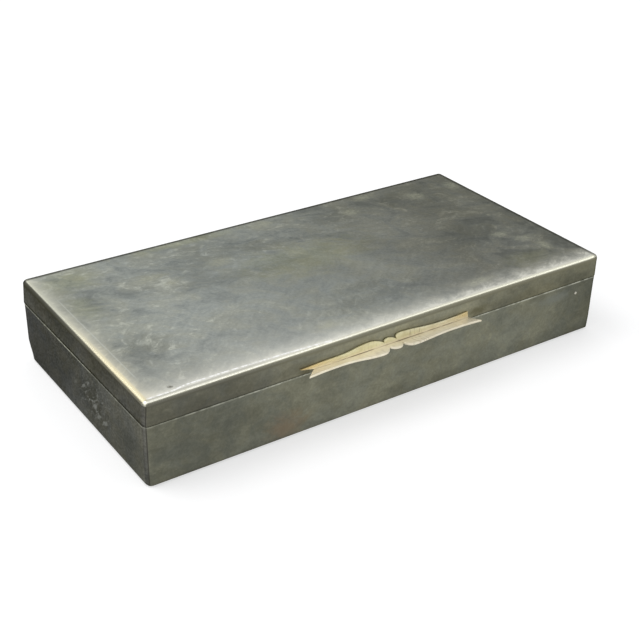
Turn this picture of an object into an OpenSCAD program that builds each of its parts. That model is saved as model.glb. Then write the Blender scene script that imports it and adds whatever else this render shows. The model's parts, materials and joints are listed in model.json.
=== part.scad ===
// A low rectangular table box: thin silver sheet over a cedar box, with a
// hinged lid. Its length runs along X, its front faces -Y, and Z = 0 is the
// surface that it stands on. The origin is the middle of its underside.

/* [Box] */
// Length of the lid, from end to end
box_l = 178; // [120:1:240]
// Width of the lid, from front to back
box_w = 88.4; // [60:0.1:130]
// Height of the base's silver, from its turned edge to the seam
base_h = 20.8; // [14:0.1:50]
// Height of the lid's silver, from the seam to the top
lid_h = 8.2; // [7.4:0.1:20]
// Radius of the four upright corners, seen from above
corner_r = 1.9; // [1.7:0.1:4]

/* [Silver sheet] */
// Thickness of the silver sheet
sheet_t = 0.7; // [0.4:0.05:0.8]
// Radius of the rolled edge round the lid's top
top_roll = 1.6; // [0.9:0.1:1.7]
// How far the lid's top falls from its middle to its edges
crown_fall = 0.3; // [0.1:0.05:0.35]
// Radius of the rolled edge round the base's bottom
foot_roll = 1.2; // [0.9:0.1:1.7]
// Width of the edge that is turned under the base
turned_edge = 8; // [4:0.5:14]
// How far the lid stands out beyond the base, on each side
lid_proud = 0.15; // [0:0.05:0.5]
// Size of the small bevel on the base's upper edge
lip_bevel = 0.25; // [0.1:0.05:0.3]

/* [Rims] */
// Width of the flat silver rims that cover the wood at the seam
rim_w = 3; // [2:0.1:4]
// Thickness of those rims
rim_t = 0.7; // [0.4:0.05:1.5]
// Gap at the seam between the closed lid and the base
seam_gap = 0.2; // [0.1:0.05:0.4]

/* [Hinge] */
// Length of the row of knuckles
hinge_l = 150; // [60:1:160]
// Number of knuckles, an odd number
knuckles = 7; // [3:2:11]
// Radius of the knuckles
knuckle_r = 1.5; // [1.2:0.05:1.9]
// How far the pin's axis lies inside the lid's back face
axis_inset = 0.6; // [0.3:0.05:0.8]
// Radius of the hinge pin
pin_r = 0.7; // [0.5:0.05:0.9]
// How far the lid opens, in degrees, until its bevelled back edge stops it
open_deg = 95; // [90:1:110]
// Metal left behind the cove that the knuckles turn in
bearer_wall = 1.5; // [1:0.1:2.2]

/* [Thumbpiece] */
// How far the thumbpiece's middle lies from the box's middle
thumb_x = -1.5; // [-5:0.1:5]
// Thickness of the leaf that the thumb lifts
leaf_t = 0.7; // [0.5:0.05:1.2]
// Height of the leaf's underside above the lid's lower edge
leaf_lift = 0.2; // [0:0.05:1]
// Half the leaf's length at its outer points
leaf_reach = 34; // [20:0.1:45]
// Half the leaf's length where it meets the lid
leaf_root = 30.3; // [18:0.1:42]
// How far the middle lobe stands out
lobe_out = 3.6; // [2.5:0.1:6]
// How far the notches beside the lobe stand out
notch_out = 1.2; // [0.8:0.1:2.4]
// Distance of each notch from the middle
notch_at = 2.9; // [2:0.1:5]
// How far the swelling beside each notch stands out
swell_out = 4.5; // [3:0.1:7]
// Distance of each swelling from the middle
swell_at = 6.8; // [5.5:0.1:10]
// How far the leaf stands out at its waist
waist_out = 2.7; // [1.8:0.05:5]
// Distance of each waist from the middle
waist_at = 21.5; // [14:0.5:26]
// How far the leaf's outer points stand out
tip_out = 3.3; // [2:0.1:6]
// Thickness of the upright flange that is soldered to the lid
flange_t = 0.5; // [0.3:0.05:0.8]
// Height of the flange's outline as a share of how far the leaf stands out
flange_share = 0.66; // [0.3:0.01:0.8]
// Length of the flange as a share of the leaf's
flange_long_share = 0.97; // [0.85:0.01:1]
// How far the flange's outline leans to the left, as a share of its height
flange_lean_share = 1.05; // [0:0.05:1.2]

/* [Woodwork] */
// Thickness of the cedar sides of the base
side_t = 4.4; // [4:0.1:8]
// Thickness of the cedar floor
floor_t = 3.6; // [3:0.1:8]
// Thickness of the divider between the two compartments
divider_t = 3; // [2:0.1:6]
// How far the divider's top lies below the seam
divider_drop = 1.5; // [0.5:0.1:6]
// Depth of the grooves that hold the divider's ends
groove_deep = 1; // [0.5:0.1:2]
// Thickness of the cedar panel in the lid
panel_t = 2.4; // [1.5:0.1:2.8]

/* [Underside] */
// Thickness of the baize, which stands a little below the turned edge
baize_t = 1.1; // [1.05:0.05:2]
// Radius of the heads of the pins in the turned edge
flange_head_r = 0.9; // [0.7:0.05:1.3]
// Thickness of those heads
flange_head_t = 0.2; // [0.1:0.05:0.25]
// Radius of the shanks of all the pins
shank_r = 0.35; // [0.25:0.05:0.5]
// Length of the shanks
shank_l = 2.8; // [2:0.1:3.2]
// Pins along each long side of the turned edge
pins_long = 4; // [2:1:8]
// Pins along each short side of the turned edge
pins_short = 2; // [2:1:4]

/* [Front pin] */
// Distance of the front pin from the right end
front_pin_in = 9.6; // [5:0.1:40]
// Distance of the front pin below the seam
front_pin_down = 4.4; // [3:0.1:10]
// Radius of the front pin's head
front_head_r = 0.6; // [0.5:0.05:1]
// How far the front pin's head stands out
front_head_out = 0.3; // [0.1:0.05:0.45]

/* [Fits] */
// Running clearance round the hinge pin
pin_fit = 0.05; // [0.02:0.01:0.1]
// Gap between the knuckles and the cove round them
cove_gap = 0.2; // [0.15:0.05:0.4]
// Gap between one knuckle and the next
knuckle_gap = 0.15; // [0.1:0.05:0.3]
// Angle left between the bevels when the lid is fully open, in degrees
stop_ease = 1; // [0.5:0.25:3]
// Gap round the divider's ends and the pins' shanks
glue_gap = 0.05; // [0.02:0.01:0.1]
// Gap between the baize and the turned edge round it
baize_gap = 0.3; // [0.2:0.05:1]

/* [Hidden] */
$fn = 48;

// Heights of the main levels
casing_z = baize_t - sheet_t;
floor_z = casing_z + sheet_t;
walls_z = floor_z + floor_t;
seam_z = casing_z + base_h;
lid_z = seam_z + seam_gap;
top_z = lid_z + lid_h;
panel_top_z = top_z - sheet_t;
panel_z = panel_top_z - panel_t;

// Outer and inner sizes of the two casings
base_l = box_l - 2 * lid_proud;
base_w = box_w - 2 * lid_proud;
base_in_l = base_l - 2 * sheet_t;
base_in_w = base_w - 2 * sheet_t;
lid_in_l = box_l - 2 * sheet_t;
lid_in_w = box_w - 2 * sheet_t;
inner_corner = corner_r - sheet_t;
strip_t = side_t + lid_proud;

// The hinge's axis and the cove that its knuckles turn in
axis_y = box_w / 2 - axis_inset;
axis_z = seam_z + seam_gap / 2;
cove_r = knuckle_r + cove_gap;
bearer_y = axis_y - cove_r - bearer_wall;
bearer_reach = cove_r + bearer_wall;
bearer_low_z = axis_z - bearer_reach;
bearer_high_z = axis_z + bearer_reach;
bevel_deg = open_deg / 2 + stop_ease / 2;
pitch = hinge_l / knuckles;

// Steps in each curve of the thumbpiece, and across half the crown
curve_steps = 10;
crown_steps = 8;
crown_power = 4;
// Extra length of a cutter past the face that it cuts
over = 1;
// Smallest inner radius of a rolled edge, and smallest bevel on the wood in it
least_roll = 0.05;
least_leg = 0.1;

// How far each curve of the leaf's edge runs on level before it turns, as a
// share of its length along X
lobe_ease = 0.6;
swell_ease = 0.6;
shoulder_ease = 0.35;
waist_ease = 0.45;
rise_ease = 0.5;
tip_ease = 0.3;

silver = [0.42, 0.43, 0.38];
silver_bright = [0.72, 0.71, 0.62];
cream_silver = [0.85, 0.8, 0.68];
cedar = [0.55, 0.3, 0.17];
green = [0.1, 0.25, 0.16];

// A rectangle whose lower outer corner, at X = w, is a roll of radius r
module rolled_corner(w, h, r) {
  difference() {
    square([w, h]);
    translate([w - r, 0])
      difference() {
        square(r);
        translate([0, r]) circle(r);
      }
  }
}

// The section of a wall of sheet that turns in at the bottom with a roll. X
// runs from the axis of the box's upright corner out to the wall's outer face.
module sheet_section(h, roll, bevel) {
  outer = min(roll, corner_r);
  difference() {
    rolled_corner(corner_r, h, outer);
    translate([-sheet_t, sheet_t])
      rolled_corner(corner_r, h, max(outer - sheet_t, least_roll));
    if (bevel > 0)
      translate([corner_r, h])
        polygon([[over, -bevel - over], [over, over], [-bevel - over, over]]);
  }
}

// Carries a section round a rectangle with rounded corners
module swept_round(l, w) {
  for (k = [0:3]) {
    run = (k % 2 == 0 ? l : w) / 2 - corner_r;
    axis_off = (k % 2 == 0 ? w : l) / 2 - corner_r;
    rotate(90 * k) {
      translate([-run, -axis_off, 0])
        rotate([90, 0, 90])
          linear_extrude(2 * run) mirror([1, 0]) children();
      translate([run, -axis_off, 0])
        rotate(-90) rotate_extrude(angle = 90) children();
    }
  }
}

// A rectangle with its corners bevelled to clear a casing's inner corners
module bevelled_rect(l, w, leg) {
  x = l / 2;
  y = w / 2;
  polygon([
    [-x + leg, -y], [x - leg, -y], [x, -y + leg], [x, y - leg],
    [x - leg, y], [-x + leg, y], [-x, y - leg], [-x, -y + leg]
  ]);
}

// A box between two corners
module block(low, high) {
  translate(low) cube(high - low);
}

// A rod along X, centred on the hinge's axis
module axis_rod(r, length) {
  translate([0, axis_y, axis_z])
    rotate([0, 90, 0]) cylinder(r = r, h = length, center = true);
}

// The wedge between the two bevels that let the back edges pass
module back_bevel() {
  reach = axis_inset + over;
  rise = reach * tan(bevel_deg);
  translate([-box_l / 2 - over, axis_y, axis_z])
    rotate([90, 0, 90])
      linear_extrude(box_l + 2 * over)
        polygon([[0, 0], [reach, -rise], [reach, rise]]);
}

// One knuckle's share of the row, counted from the left
function station_x(i) = -hinge_l / 2 + (i + 0.5) * pitch;

module station_rod(i, r, length) {
  translate([station_x(i), 0, 0]) axis_rod(r, length);
}

// A leaf's bearer with its own knuckles on it and coves for the others.
// first is 0 for the base's leaf and 1 for the lid's.
module hinge_leaf(first, in_l, in_w, z_low, z_high) {
  difference() {
    union() {
      difference() {
        translate([0, 0, z_low])
          linear_extrude(z_high - z_low)
            intersection() {
              bevelled_rect(in_l, in_w, inner_corner);
              translate([-in_l / 2, bearer_y]) square([in_l, in_w]);
            }
        for (i = [1 - first : 2 : knuckles - 1])
          station_rod(i, cove_r, pitch + knuckle_gap);
      }
      for (i = [first : 2 : knuckles - 1])
        station_rod(i, knuckle_r, pitch - knuckle_gap);
    }
    axis_rod(pin_r + pin_fit, hinge_l + 2 * over);
  }
}

// A rim strip round three sides, which ends against a hinge bearer
module rim(in_l, in_w, z_low) {
  translate([0, 0, z_low])
    linear_extrude(rim_t)
      difference() {
        bevelled_rect(in_l, in_w, inner_corner);
        translate([rim_w - in_l / 2, rim_w - in_w / 2]) square([in_l - 2 * rim_w, in_w]);
        translate([-in_l / 2 - over, bearer_y]) square([in_l + 2 * over, in_w]);
      }
}

// Distance of row point i of n from the middle of a side of length l
function spread(i, n, l) = n < 2 ? 0 : -l / 2 + l * i / (n - 1);

flange_mid_l = base_l / 2 - (foot_roll + turned_edge) / 2;
flange_mid_w = base_w / 2 - (foot_roll + turned_edge) / 2;

// Places its children at each pin of the turned edge
module at_flange_pins() {
  for (side = [-1, 1]) {
    for (i = [0 : pins_long - 1])
      translate([spread(i, pins_long, 2 * flange_mid_l - 4 * turned_edge), side * flange_mid_w, 0])
        children();
    for (i = [0 : pins_short - 1])
      translate([side * flange_mid_l, spread(i, pins_short, 2 * flange_mid_w - 2 * turned_edge), 0])
        children();
  }
}

module flange_shank(r, length) {
  translate([0, 0, casing_z - over / 2]) cylinder(r = r, h = length + over / 2);
}

// Places its children at the front pin, with Z pointing into the box
module at_front_pin() {
  translate([box_l / 2 - front_pin_in, -base_w / 2, seam_z - front_pin_down])
    rotate([-90, 0, 0]) children();
}

// Points of a curve from a to d that leaves towards b and arrives from c
function curve(a, b, c, d) = [
  for (i = [0 : curve_steps - 1])
    let (t = i / curve_steps, s = 1 - t)
      s * s * s * a + 3 * s * s * t * b + 3 * s * t * t * c + t * t * t * d
];

// The right half of the leaf's edge, from the middle of the lobe to the root
function leaf_half(k) =
  let (
    lobe = [0, lobe_out * k],
    notch = [notch_at, notch_out * k],
    swell = [swell_at, swell_out * k],
    waist = [waist_at, waist_out * k],
    tip = [leaf_reach, tip_out * k],
    to_swell = swell_at - notch_at,
    to_waist = waist_at - swell_at,
    to_tip = leaf_reach - waist_at
  )
  concat(
    curve(lobe, lobe + [notch_at * lobe_ease, 0], [notch_at, (lobe[1] + notch[1]) / 2], notch),
    curve(notch, [notch_at, (swell[1] + notch[1]) / 2], swell - [to_swell * swell_ease, 0], swell),
    curve(swell, swell + [to_waist * shoulder_ease, 0], waist - [to_waist * waist_ease, 0], waist),
    curve(waist, waist + [to_tip * rise_ease, 0],
      tip - [to_tip * tip_ease, (tip[1] - waist[1]) / 2], tip),
    [tip, [leaf_root, 0]]
  );

// The whole edge, mirrored about the middle, k times as high and j times as
// long as the leaf's, and leaning to the left
module leaf_outline(k, j, lean) {
  right = leaf_half(k);
  left = [for (i = [len(right) - 1 : -1 : 1]) [-right[i][0], right[i][1]]];
  polygon([for (q = concat(right, left)) [j * q[0] - lean * q[1], q[1]]]);
}

// The lid's top follows this gentle fall from the middle to the edges
function fall_at(s) = crown_fall * pow(abs(s), crown_power);

module crown_profile(width) {
  polygon(concat(
    [[width / 2 + over, -lid_h - over], [width / 2 + over, -crown_fall]],
    [for (i = [crown_steps : -1 : -crown_steps])
      [width / 2 * i / crown_steps, -fall_at(i / crown_steps)]],
    [[-width / 2 - over, -crown_fall], [-width / 2 - over, -lid_h - over]]
  ));
}

module crown() {
  intersection() {
    translate([-box_l / 2 - over, 0, top_z])
      rotate([90, 0, 90]) linear_extrude(box_l + 2 * over) crown_profile(box_w);
    translate([0, box_w / 2 + over, top_z])
      rotate([90, 0, 0]) linear_extrude(box_w + 2 * over) crown_profile(box_l);
  }
}

// The base's silver: four sides rolled under at the bottom, in one sheet
module base_casing() {
  color(silver)
    difference() {
      translate([0, 0, casing_z]) {
        swept_round(base_l, base_w) sheet_section(base_h, foot_roll, lip_bevel);
        linear_extrude(sheet_t)
          difference() {
            square([base_l - 2 * corner_r, base_w - 2 * corner_r], center = true);
            square([base_l - 2 * turned_edge, base_w - 2 * turned_edge], center = true);
          }
      }
      axis_rod(cove_r, hinge_l + knuckle_gap);
      back_bevel();
      at_flange_pins() flange_shank(shank_r + glue_gap, sheet_t + over);
      at_front_pin()
        translate([0, 0, -over]) cylinder(r = shank_r + glue_gap, h = sheet_t + 2 * over);
    }
}

// The flat silver rim that covers the wood of the base
module base_rim() {
  color(silver_bright) rim(base_in_l, base_in_w, seam_z - rim_t);
}

// The base's half of the hinge
module base_hinge_leaf() {
  color(silver_bright) hinge_leaf(0, base_in_l, base_in_w, bearer_low_z, seam_z);
}

module hinge_pin() {
  color(silver_bright) axis_rod(pin_r, hinge_l);
}

// A long board of the base. side is -1 for the front and 1 for the back, and
// the rebate along its top takes the rim or the hinge's bearer.
module long_board(side, rebate_y, rebate_z) {
  difference() {
    translate([0, 0, walls_z])
      linear_extrude(seam_z - walls_z)
        intersection() {
          bevelled_rect(base_in_l, base_in_w, inner_corner);
          translate([0, side * (base_in_w - side_t) / 2])
            square([base_in_l, side_t], center = true);
        }
    translate([0, side * (rebate_y + base_w / 2), (rebate_z + seam_z + over) / 2])
      cube([base_l, base_w, seam_z + over - rebate_z], center = true);
    for (end = [-1, 1])
      translate([end * base_in_l / 2, 0, seam_z])
        cube([2 * rim_w, base_w, 2 * rim_t], center = true);
    translate([0, side * (base_in_w / 2 - side_t), (walls_z + seam_z) / 2])
      cube([divider_t + 2 * glue_gap, 2 * groove_deep, seam_z - walls_z + 2 * over], center = true);
  }
}

module front_board() {
  color(cedar)
    difference() {
      long_board(-1, base_in_w / 2 - rim_w, seam_z - rim_t);
      at_front_pin() cylinder(r = shank_r + glue_gap, h = shank_l + glue_gap);
    }
}

module back_board() {
  color(cedar) long_board(1, bearer_y, bearer_low_z);
}

// An end board of the base, between the long boards
module end_board(side) {
  half_w = base_in_w / 2 - side_t;
  difference() {
    translate([side * (base_in_l - side_t) / 2, 0, (walls_z + seam_z) / 2])
      cube([side_t, 2 * half_w, seam_z - walls_z], center = true);
    translate([side * base_in_l / 2, 0, seam_z])
      cube([2 * rim_w, base_w, 2 * rim_t], center = true);
  }
}

module left_board() {
  color(cedar) end_board(-1);
}

module right_board() {
  color(cedar) end_board(1);
}

// The floor, with its lower edges bevelled to lie in the rolled sheet
module floor_board() {
  leg = max(foot_roll - sheet_t, least_leg);
  color(cedar)
    difference() {
      translate([0, 0, floor_z])
        linear_extrude(floor_t) bevelled_rect(base_in_l, base_in_w, inner_corner);
      for (k = [0:3]) {
        off = (k % 2 == 0 ? base_in_w : base_in_l) / 2;
        rotate(90 * k)
          translate([-box_l, -off, floor_z])
            rotate([90, 0, 90])
              linear_extrude(2 * box_l)
                polygon([[-over, -over], [leg + over, -over], [-over, leg + over]]);
      }
      at_flange_pins() flange_shank(shank_r + glue_gap, shank_l + glue_gap);
    }
}

module divider() {
  half_w = base_in_w / 2 - side_t + groove_deep - glue_gap;
  color(cedar)
    block([-divider_t / 2, -half_w, walls_z], [divider_t / 2, half_w, seam_z - divider_drop]);
}

// The baize lies inside the turned edge and carries the box
module baize() {
  color(green)
    translate([0, 0, baize_t / 2])
      cube([
        base_l - 2 * turned_edge - 2 * baize_gap,
        base_w - 2 * turned_edge - 2 * baize_gap,
        baize_t
      ], center = true);
}

// Small flat-headed pins that hold the turned edge to the floor
module flange_pins() {
  color(silver_bright)
    at_flange_pins() {
      translate([0, 0, casing_z - flange_head_t]) cylinder(r = flange_head_r, h = flange_head_t);
      translate([0, 0, casing_z - flange_head_t]) cylinder(r = shank_r, h = shank_l + flange_head_t);
    }
}

// The one pin whose domed head shows on the front
module front_pin() {
  dome_r = (pow(front_head_r, 2) + pow(front_head_out, 2)) / (2 * front_head_out);
  color(cream_silver)
    at_front_pin() {
      intersection() {
        translate([0, 0, dome_r - front_head_out]) sphere(dome_r);
        translate([0, 0, -2 * front_head_out]) cylinder(r = 2 * front_head_r, h = 2 * front_head_out);
      }
      translate([0, 0, -front_head_out / 2]) cylinder(r = shank_r, h = shank_l + front_head_out / 2);
    }
}

// The lid's silver: a gently crowned top rolled over into four low sides
module lid_casing() {
  color(silver)
    difference() {
      intersection() {
        translate([0, 0, top_z])
          mirror([0, 0, 1]) {
            swept_round(box_l, box_w) sheet_section(lid_h, top_roll, 0);
            linear_extrude(sheet_t)
              square([box_l - 2 * corner_r, box_w - 2 * corner_r], center = true);
          }
        crown();
      }
      axis_rod(cove_r, hinge_l + knuckle_gap);
      back_bevel();
    }
}

module lid_rim() {
  color(silver_bright) rim(lid_in_l, lid_in_w, lid_z);
}

// The lid's half of the hinge
module lid_hinge_leaf() {
  color(silver_bright) hinge_leaf(1, lid_in_l, lid_in_w, lid_z, bearer_high_z);
}

// The thumbpiece: a leaf that stands out from the lid's front, and the low
// flange of the same outline that it is soldered on by
module thumbpiece() {
  leaf_z = lid_z + leaf_lift;
  color(cream_silver)
    translate([thumb_x, -box_w / 2, leaf_z]) {
      mirror([0, 1, 0]) linear_extrude(leaf_t) leaf_outline(1, 1, 0);
      translate([0, 0, leaf_t])
        rotate([90, 0, 0])
          linear_extrude(flange_t)
            leaf_outline(flange_share, flange_long_share, flange_lean_share);
    }
}

// The cedar panel under the lid's top, with its upper edges bevelled
module lid_panel() {
  leg = max(top_roll - sheet_t, least_leg);
  color(cedar)
    difference() {
      translate([0, 0, panel_z])
        linear_extrude(panel_t) bevelled_rect(lid_in_l, lid_in_w, inner_corner);
      for (k = [0:3]) {
        off = (k % 2 == 0 ? lid_in_w : lid_in_l) / 2;
        rotate(90 * k)
          translate([-box_l, -off, panel_top_z])
            rotate([90, 0, 90])
              linear_extrude(2 * box_l)
                polygon([[-over, over], [leg + over, over], [-over, -leg - over]]);
      }
    }
}

// A long strip of the lid. side is -1 for the front and 1 for the back.
module long_strip(side, rebate_y, rebate_z) {
  difference() {
    translate([0, 0, lid_z])
      linear_extrude(panel_z - lid_z)
        intersection() {
          bevelled_rect(lid_in_l, lid_in_w, inner_corner);
          translate([0, side * (lid_in_w - strip_t) / 2])
            square([lid_in_l, strip_t], center = true);
        }
    translate([0, side * (rebate_y + box_w / 2), (rebate_z + lid_z - over) / 2])
      cube([box_l, box_w, rebate_z - lid_z + over], center = true);
    for (end = [-1, 1])
      translate([end * lid_in_l / 2, 0, lid_z])
        cube([2 * rim_w, box_w, 2 * rim_t], center = true);
  }
}

module lid_front_strip() {
  color(cedar) long_strip(-1, lid_in_w / 2 - rim_w, lid_z + rim_t);
}

module lid_back_strip() {
  color(cedar) long_strip(1, bearer_y, bearer_high_z);
}

// An end strip of the lid, between the long strips
module end_strip(side) {
  half_w = lid_in_w / 2 - strip_t;
  difference() {
    translate([side * (lid_in_l - strip_t) / 2, 0, (lid_z + panel_z) / 2])
      cube([strip_t, 2 * half_w, panel_z - lid_z], center = true);
    translate([side * lid_in_l / 2, 0, lid_z])
      cube([2 * rim_w, box_w, 2 * rim_t], center = true);
  }
}

module lid_left_strip() {
  color(cedar) end_strip(-1);
}

module lid_right_strip() {
  color(cedar) end_strip(1);
}

base_casing();
base_rim();
base_hinge_leaf();
hinge_pin();
front_board();
back_board();
left_board();
right_board();
floor_board();
divider();
baize();
flange_pins();
front_pin();
lid_casing();
lid_rim();
lid_hinge_leaf();
thumbpiece();
lid_panel();
lid_front_strip();
lid_back_strip();
lid_left_strip();
lid_right_strip();
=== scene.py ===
# %% [markdown]
# # A silver-covered table box
# This lesson dresses a low cedar box that is covered in thin, toned silver
# sheet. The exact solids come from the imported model, so every size is already
# right. Blender's job is the look: soft rolled edges, a top that isn't quite
# flat, tarnish, rubbed edges, cedar grain and wool cloth.

import json
import math

import bmesh
import bpy
from mathutils import Matrix, Vector, noise


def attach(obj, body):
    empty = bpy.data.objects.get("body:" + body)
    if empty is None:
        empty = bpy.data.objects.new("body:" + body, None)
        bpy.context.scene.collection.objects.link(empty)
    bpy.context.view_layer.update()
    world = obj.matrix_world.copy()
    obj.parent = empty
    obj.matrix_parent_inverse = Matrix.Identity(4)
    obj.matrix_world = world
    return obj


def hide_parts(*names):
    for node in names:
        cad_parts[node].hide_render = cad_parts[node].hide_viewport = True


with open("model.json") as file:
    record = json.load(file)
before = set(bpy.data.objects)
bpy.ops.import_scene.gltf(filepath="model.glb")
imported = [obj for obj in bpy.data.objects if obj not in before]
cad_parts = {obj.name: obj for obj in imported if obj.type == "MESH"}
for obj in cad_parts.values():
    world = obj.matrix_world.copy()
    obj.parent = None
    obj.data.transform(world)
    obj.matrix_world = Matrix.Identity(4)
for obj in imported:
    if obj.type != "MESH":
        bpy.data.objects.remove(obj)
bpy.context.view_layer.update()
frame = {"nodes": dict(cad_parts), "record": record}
BODY_OF = {n: b for b, names in frame["record"]["behaviour"]["bodies"].items() for n in names}
scene = bpy.context.scene

# %% [markdown]
# ## Sizes
# The same sizes as in the part's source, in millimetres. Meshes are made in
# millimetres, because the numbers are easy to read, and are scaled to metres
# once, at the end, in the mesh itself.

# %% Sizes of the box, in millimetres
MM = 0.001
LID_L, LID_W, LID_H = 178.0, 88.4, 8.2
BASE_L, BASE_W, BASE_H = 177.7, 88.1, 20.8
BASE_Z, SEAM_Z, LID_Z, TOP_Z = 0.4, 21.2, 21.4, 29.6
CORNER_R, TOP_ROLL, FOOT_ROLL = 1.9, 1.6, 1.2
SHEET_T, TURNED_EDGE, LIP = 0.7, 8.0, 0.25
AXIS_Y, AXIS_Z = 43.6, 21.3
print("lid", LID_L, "x", LID_W, "mm, top at", TOP_Z)

# %% [markdown]
# ## Camera
# The photograph was taken from the front left, a little above. The view was
# found by fitting the box's outline, its seam and its thumbpiece, and is given
# as the camera's own three axes and its place. A square picture on a 36 mm
# sensor makes the lens length easy to compare with a real camera's.

# %% Place the camera
CAMERA_RIGHT = (0.826235, -0.562913, 0.021549)
CAMERA_UP = (0.260310, 0.415444, 0.871576)
CAMERA_BACK = (-0.499574, -0.714517, 0.489787)
CAMERA_PLACE = (-207.186, -297.705, 212.383)
LENS = 67.256

camera_data = bpy.data.cameras.new("camera")
camera_data.sensor_fit = "HORIZONTAL"
camera_data.sensor_width = 36
camera_data.lens = LENS
camera_data.clip_start = 0.01
camera_data.clip_end = 20
camera = bpy.data.objects.new("camera", camera_data)
scene.collection.objects.link(camera)
turn = Matrix((CAMERA_RIGHT, CAMERA_UP, CAMERA_BACK)).transposed().to_4x4()
camera.matrix_world = Matrix.Translation(Vector(CAMERA_PLACE) * MM) @ turn
scene.camera = camera
print("camera", [round(c, 4) for c in camera.matrix_world.translation])

# %% [markdown]
# ## Light
# A plain pale room lights the box from all round. One large, mild panel stands
# for a window high at the back left, and throws the faint shadow to the front
# right. Metal shows what it reflects, so two pale cards, as a photographer
# would hold them, draw the light lines along the rolled edges. They are seen
# in reflections only, and put no light on dull surfaces.

# %% World, window and cards
ROOM_COLOUR, ROOM_GLOW = (0.98, 0.985, 1.0, 1), 0.8

scene.view_settings.view_transform = "Standard"
world = bpy.data.worlds.new("room")
scene.world = world
world.use_nodes = True
sky = world.node_tree.nodes["Background"]
sky.inputs["Color"].default_value = ROOM_COLOUR
sky.inputs["Strength"].default_value = ROOM_GLOW


def soft_panel(name, place, size, radiance, diffuse=True):
    """A square area lamp that faces the box, with the given brightness of its face."""
    lamp = bpy.data.lights.new(name, "AREA")
    lamp.shape = "SQUARE"
    lamp.size = size
    lamp.energy = radiance * math.pi * size * size
    panel = bpy.data.objects.new(name, lamp)
    scene.collection.objects.link(panel)
    facing = (-Vector(place)).to_track_quat("-Z", "Y").to_matrix().to_4x4()
    panel.matrix_world = Matrix.Translation(place) @ facing
    panel.visible_diffuse = diffuse


soft_panel("window", (-0.46, 0.26, 0.88), 0.62, 3.3)
soft_panel("back_left_card", (-0.55, 0.62, 0.62), 0.5, 1.05, diffuse=False)
soft_panel("front_right_card", (0.52, -0.42, 0.85), 0.5, 1.4, diffuse=False)

# %% [markdown]
# ## Node helper
# Each finish is a small graph. This helper keeps it readable: each method
# makes a node, joins or sets its inputs, and gives back its output. Patterns
# read Object coordinates in millimetres, so they stay fixed to the metal.

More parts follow.
